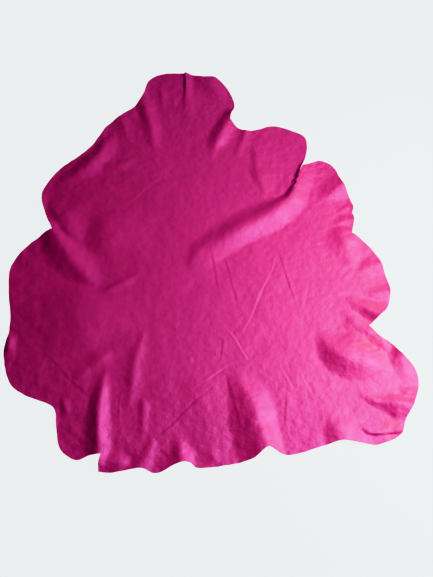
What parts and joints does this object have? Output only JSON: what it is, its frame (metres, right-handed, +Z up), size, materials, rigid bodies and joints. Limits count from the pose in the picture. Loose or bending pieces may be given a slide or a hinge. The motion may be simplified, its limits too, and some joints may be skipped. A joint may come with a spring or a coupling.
{
  "type": "leather hide",
  "caption": "Whole small dyed leather skin with an irregular cut edge, laid out flat with soft folds running in from its rim.",
  "frame": {"origin": "on the floor, under the middle of the skin's bounding box", "axes": "+Z up, +Y from the tail edge to the neck, +X towards the split foreleg"},
  "size_m": [0.9246, 1.0876, 0.0188],
  "materials": {
    "leather": "soft smooth-grain skin, dyed magenta right through, with a low satin shine"
  },
  "bodies": {
    "root": {"hide": "leather"}
  },
  "joints": []
}
